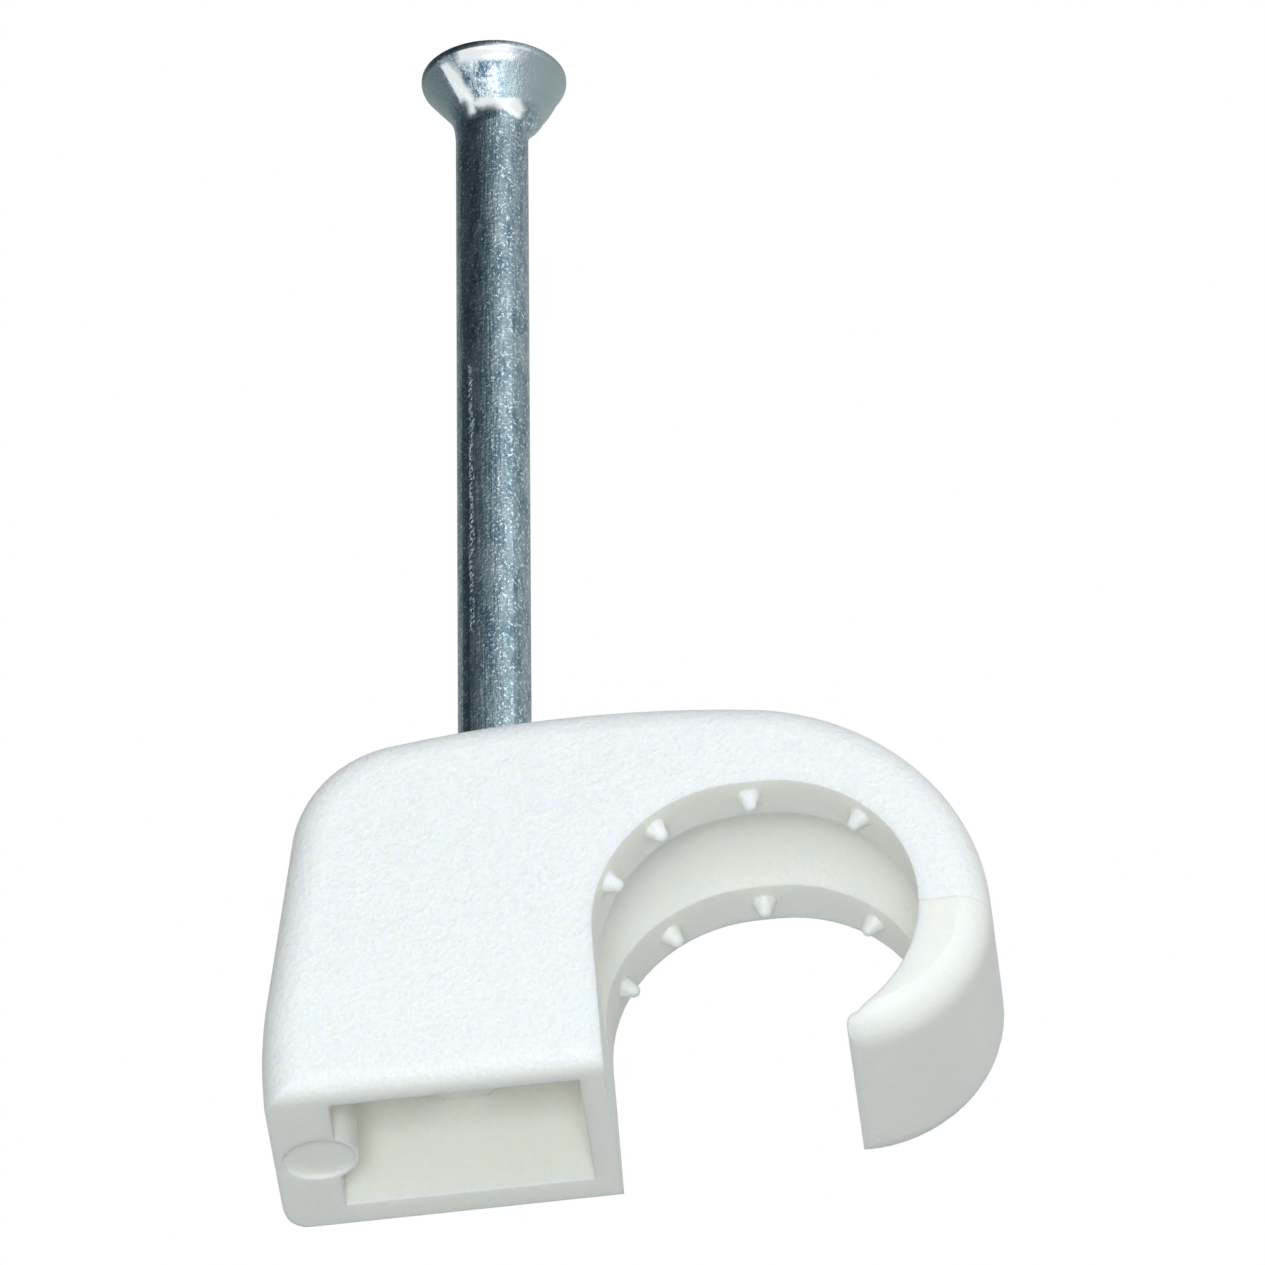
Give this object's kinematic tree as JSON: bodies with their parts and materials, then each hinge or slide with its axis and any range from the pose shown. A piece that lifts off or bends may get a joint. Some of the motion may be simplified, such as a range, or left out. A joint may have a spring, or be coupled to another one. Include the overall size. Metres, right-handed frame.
{
  "type": "cable clip",
  "caption": "Moulded plastic clip whose hook holds a round cable against a wall, with a grooved, pipped channel and a hollow block that carries a countersunk steel nail.",
  "frame": {"origin": "where the nail's axis meets the wall plane, midway along the clip's depth", "axes": "+X from the block to the hook, +Y along the cable towards the back, +Z away from the wall; the base lies in z = 0"},
  "size_m": [0.0198, 0.0072, 0.0343],
  "materials": {
    "white_plastic": "white moulded plastic with a fine eroded grain, smoother below the mould line and inside the channel",
    "zinc_steel": "bright zinc plating, speckled and lightly scratched along the shank"
  },
  "bodies": {
    "root": {"clip_body": "white_plastic", "nail": "zinc_steel"}
  },
  "joints": []
}
